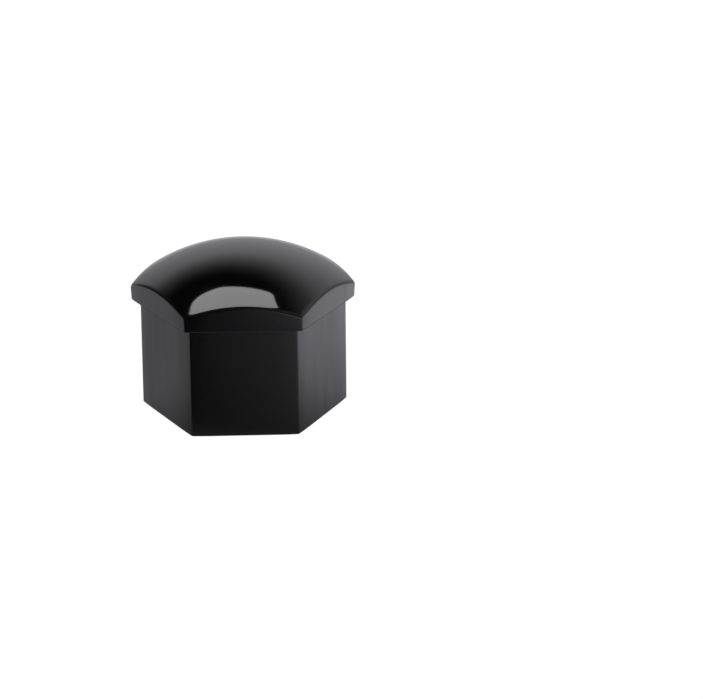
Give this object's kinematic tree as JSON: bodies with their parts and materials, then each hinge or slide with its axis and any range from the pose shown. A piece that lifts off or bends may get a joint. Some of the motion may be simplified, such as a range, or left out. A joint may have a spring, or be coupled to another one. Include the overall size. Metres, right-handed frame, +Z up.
{
  "type": "wheel nut cover cap",
  "caption": "Moulded push-on cap for a hexagonal wheel nut: a thin hexagonal skirt, open below, under a wider domed head with a ledge all round.",
  "frame": {"origin": "centre of the open mouth, on the plane of the rim", "axes": "+Z up the cap's axis, from the mouth to the dome; opposite corners of the hexagon along X, two flats facing +Y and -Y"},
  "size_m": [0.0228, 0.02, 0.0169],
  "materials": {
    "black_abs": "black ABS, dome polished, skirt satin"
  },
  "bodies": {
    "root": {"cap": "black_abs"}
  },
  "joints": []
}
